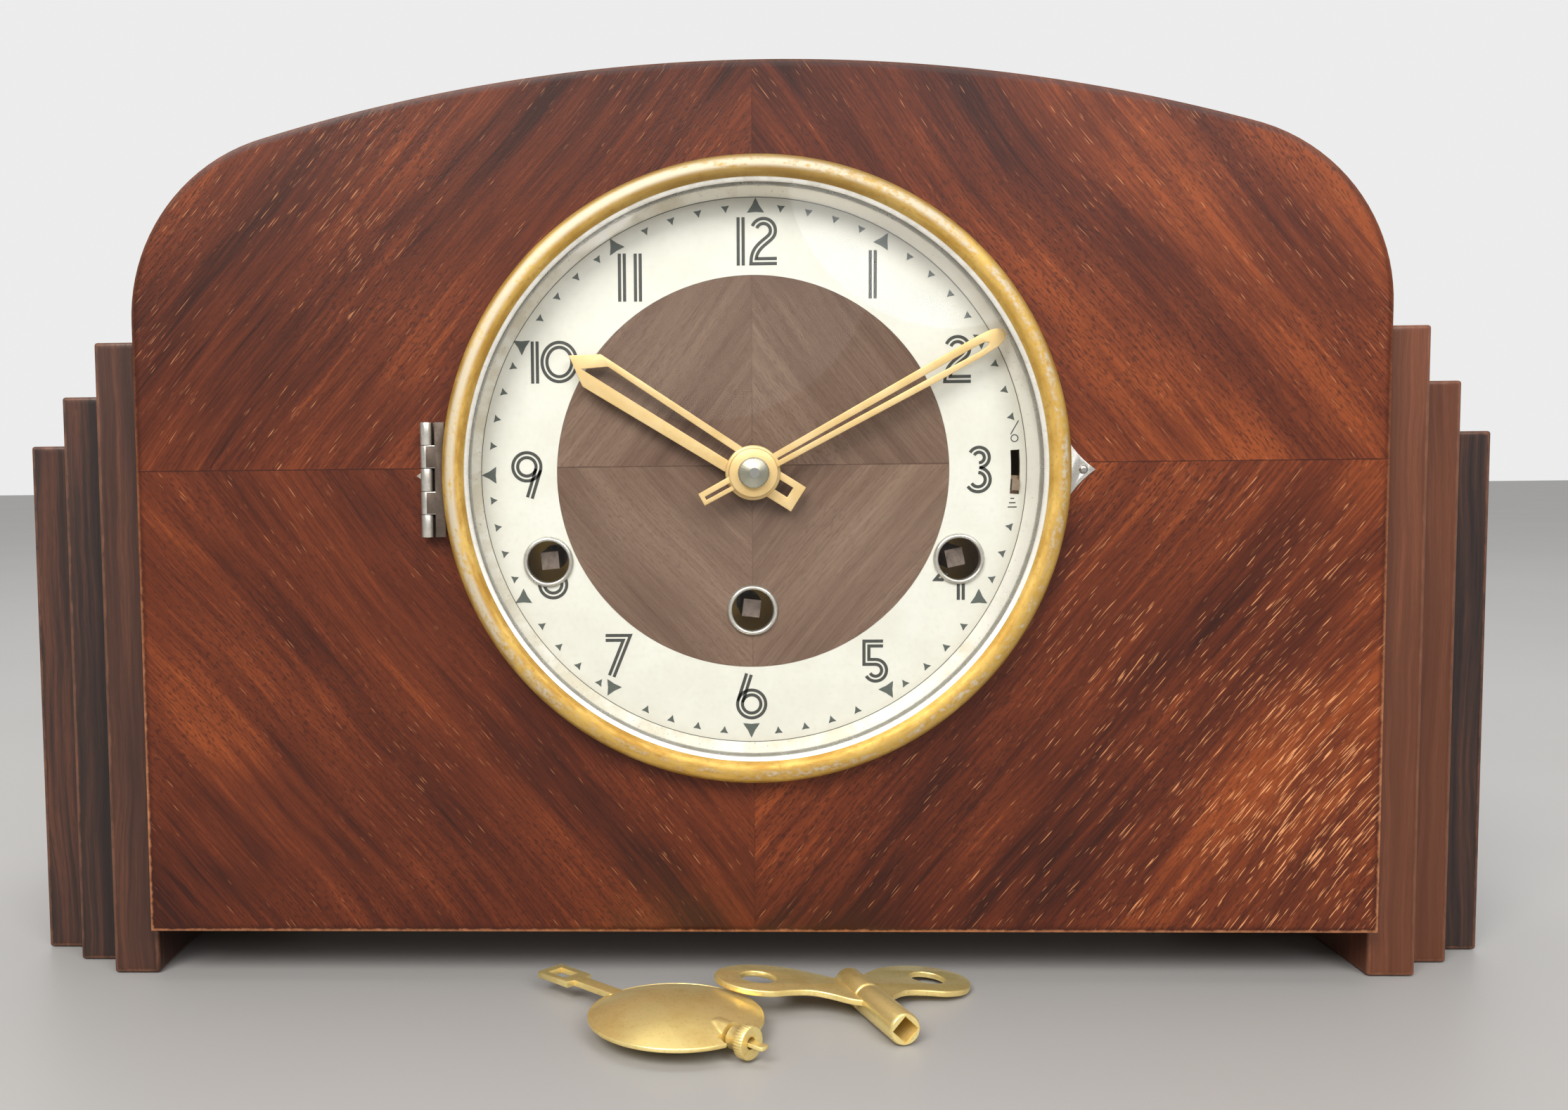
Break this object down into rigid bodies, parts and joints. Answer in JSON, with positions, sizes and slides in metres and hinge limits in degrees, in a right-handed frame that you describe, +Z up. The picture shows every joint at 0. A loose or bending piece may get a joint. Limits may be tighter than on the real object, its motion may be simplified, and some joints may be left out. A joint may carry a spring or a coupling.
{
  "type": "mantel clock",
  "caption": "Arched veneered wooden mantel clock with stepped side columns, hinged round bezel, silvered dial, chiming movement, loose pendulum and winding key.",
  "frame": {"origin": "on the table, under the middle of the whole footprint (case with the pendulum and key lying in front)", "axes": "+Z up, +Y from the dial to the back, +X to the right seen from the front"},
  "size_m": [0.3614, 0.1952, 0.2147],
  "materials": {
    "wood_front": "polished",
    "wood_dark": "polished",
    "wood_plain": "satin",
    "gilt_brass": "tarnished",
    "brass": "satin",
    "nickel": "worn",
    "silvered": "satin silvered",
    "gilt_hand": "satin",
    "steel": "satin",
    "iron": "painted",
    "clear_glass": "clear"
  },
  "bodies": {
    "case": {"front_veneers": "wood_front", "front_panel": "wood_plain", "base_board": "wood_plain", "back_frame": "wood_plain", "seat_rails": "wood_plain", "top_shell": "wood_dark", "left_column_inner": "wood_dark", "left_column_middle": "wood_dark", "left_column_outer": "wood_dark", "right_column_inner": "wood_dark", "right_column_middle": "wood_dark", "right_column_outer": "wood_dark", "dial_centre": "wood_front", "bezel_base_ring": "nickel", "dial_plate": "brass", "dial_posts": "brass", "back_hinge_fixed_leaves": "brass", "movement_front_plate": "brass", "movement_back_plate": "brass", "plate_pillars": "brass", "suspension_bracket": "brass", "winding_grommets": "nickel", "bezel_hinge_fixed_leaf": "nickel", "reflector_ring": "silvered", "chapter_ring": "silvered", "back_hinge_pins": "steel", "turn_button_screw": "steel", "bezel_hinge_pin": "steel", "chime_rods": "steel", "hammer_arbor": "steel", "rod_block": "iron"},
    "bezel": {"bezel_frame": "gilt_brass", "bezel_glass": "clear_glass", "glass_retainer": "brass", "bezel_hinge_moving_leaf": "nickel"},
    "back_door": {"back_door": "wood_plain", "back_hinge_moving_leaves": "brass"},
    "turn_button": {"turn_button": "brass"},
    "minute_hand": {"minute_hand": "gilt_hand", "centre_arbor": "steel", "hand_nut": "nickel"},
    "hour_hand": {"hour_hand": "gilt_hand", "hour_wheel": "brass"},
    "minute_wheel": {"minute_wheel": "brass"},
    "time_barrel": {"time_barrel": "brass"},
    "strike_barrel": {"strike_barrel": "brass"},
    "chime_barrel": {"chime_barrel": "brass"},
    "time_winding_arbor": {"time_winding_arbor": "steel"},
    "strike_winding_arbor": {"strike_winding_arbor": "steel"},
    "chime_winding_arbor": {"chime_winding_arbor": "steel"},
    "chime_lever": {"chime_lever": "steel"},
    "pendulum_leader": {"pendulum_leader": "brass"},
    "hammer_1": {"hammer_1": "brass"},
    "hammer_2": {"hammer_2": "brass"},
    "hammer_3": {"hammer_3": "brass"},
    "hammer_4": {"hammer_4": "brass"},
    "pendulum": {"pendulum_bob": "brass", "pendulum_rod": "brass"},
    "rating_nut": {"rating_nut": "brass"},
    "winding_key": {"winding_key": "brass"}
  },
  "joints": [
    {"name": "bezel_swing", "type": "hinge", "parent": "case", "child": "bezel", "pos_m": [-0.0756, -0.0486, 0.1207], "axis": [0, 0, -1], "range_deg": [0, 110]},
    {"name": "back_door_swing", "type": "hinge", "parent": "case", "child": "back_door", "pos_m": [0.095, 0.0946, 0.099], "axis": [0, 0, -1], "range_deg": [0, 100]},
    {"name": "turn_button_turn", "type": "hinge", "parent": "case", "child": "turn_button", "pos_m": [-0.1015, 0.0936, 0.097], "axis": [0, 1, 0], "range_deg": [0, 90]},
    {"name": "minute_hand_turn", "type": "hinge", "parent": "case", "child": "minute_hand", "pos_m": [0, -0.0464, 0.1207], "axis": [0, 1, 0], "continuous": true},
    {"name": "hour_hand_turn", "type": "hinge", "parent": "case", "child": "hour_hand", "pos_m": [0, -0.0464, 0.1207], "axis": [0, 1, 0], "continuous": true},
    {"name": "minute_wheel_turn", "type": "hinge", "parent": "case", "child": "minute_wheel", "pos_m": [0, -0.0264, 0.1375], "axis": [0, 1, 0], "continuous": true},
    {"name": "time_barrel_turn", "type": "hinge", "parent": "case", "child": "time_barrel", "pos_m": [0, -0.0064, 0.0883], "axis": [0, 1, 0], "continuous": true},
    {"name": "strike_barrel_turn", "type": "hinge", "parent": "case", "child": "strike_barrel", "pos_m": [-0.0482, -0.0064, 0.1001], "axis": [0, 1, 0], "continuous": true},
    {"name": "chime_barrel_turn", "type": "hinge", "parent": "case", "child": "chime_barrel", "pos_m": [0.0482, -0.0064, 0.1001], "axis": [0, 1, 0], "continuous": true},
    {"name": "time_winding", "type": "hinge", "parent": "case", "child": "time_winding_arbor", "pos_m": [0, -0.0264, 0.0883], "axis": [0, 1, 0], "continuous": true},
    {"name": "strike_winding", "type": "hinge", "parent": "case", "child": "strike_winding_arbor", "pos_m": [-0.0482, -0.0264, 0.1001], "axis": [0, 1, 0], "continuous": true},
    {"name": "chime_winding", "type": "hinge", "parent": "case", "child": "chime_winding_arbor", "pos_m": [0.0482, -0.0264, 0.1001], "axis": [0, 1, 0], "continuous": true},
    {"name": "silencer", "type": "hinge", "parent": "case", "child": "chime_lever", "pos_m": [0, -0.0404, 0.1207], "axis": [0, -1, 0], "range_deg": [0, 6]},
    {"name": "pendulum_swing", "type": "hinge", "parent": "case", "child": "pendulum_leader", "pos_m": [0, 0.0236, 0.138], "axis": [0, 1, 0], "range_deg": [-4, 4]},
    {"name": "hammer_1_lift", "type": "hinge", "parent": "case", "child": "hammer_1", "pos_m": [0.062, 0.0436, 0.058], "axis": [0, 1, 0], "range_deg": [0, 18]},
    {"name": "hammer_2_lift", "type": "hinge", "parent": "case", "child": "hammer_2", "pos_m": [0.062, 0.0526, 0.058], "axis": [0, 1, 0], "range_deg": [0, 18]},
    {"name": "hammer_3_lift", "type": "hinge", "parent": "case", "child": "hammer_3", "pos_m": [0.062, 0.0616, 0.058], "axis": [0, 1, 0], "range_deg": [0, 18]},
    {"name": "hammer_4_lift", "type": "hinge", "parent": "case", "child": "hammer_4", "pos_m": [0.062, 0.0706, 0.058], "axis": [0, 1, 0], "range_deg": [0, 18]},
    {"name": "pendulum_pick_up", "type": "slide", "parent": "case", "child": "pendulum", "axis": [0, -0.8, 0.6], "range_m": [0, 0.05]},
    {"name": "rating_nut_turn", "type": "hinge", "parent": "pendulum", "child": "rating_nut", "pos_m": [-0.0188, -0.0786, 0.004], "axis": [0.723, -0.6909, 0], "continuous": true},
    {"name": "key_pick_up", "type": "slide", "parent": "case", "child": "winding_key", "axis": [0, -0.8, 0.6], "range_m": [0, 0.05]}
  ],
  "couplings": [
    {"joint": "hour_hand_turn", "follows": "minute_hand_turn", "ratio": 0.083333},
    {"joint": "minute_wheel_turn", "follows": "minute_hand_turn", "ratio": -0.33333},
    {"joint": "time_barrel_turn", "follows": "minute_hand_turn", "ratio": -0.14286}
  ]
}
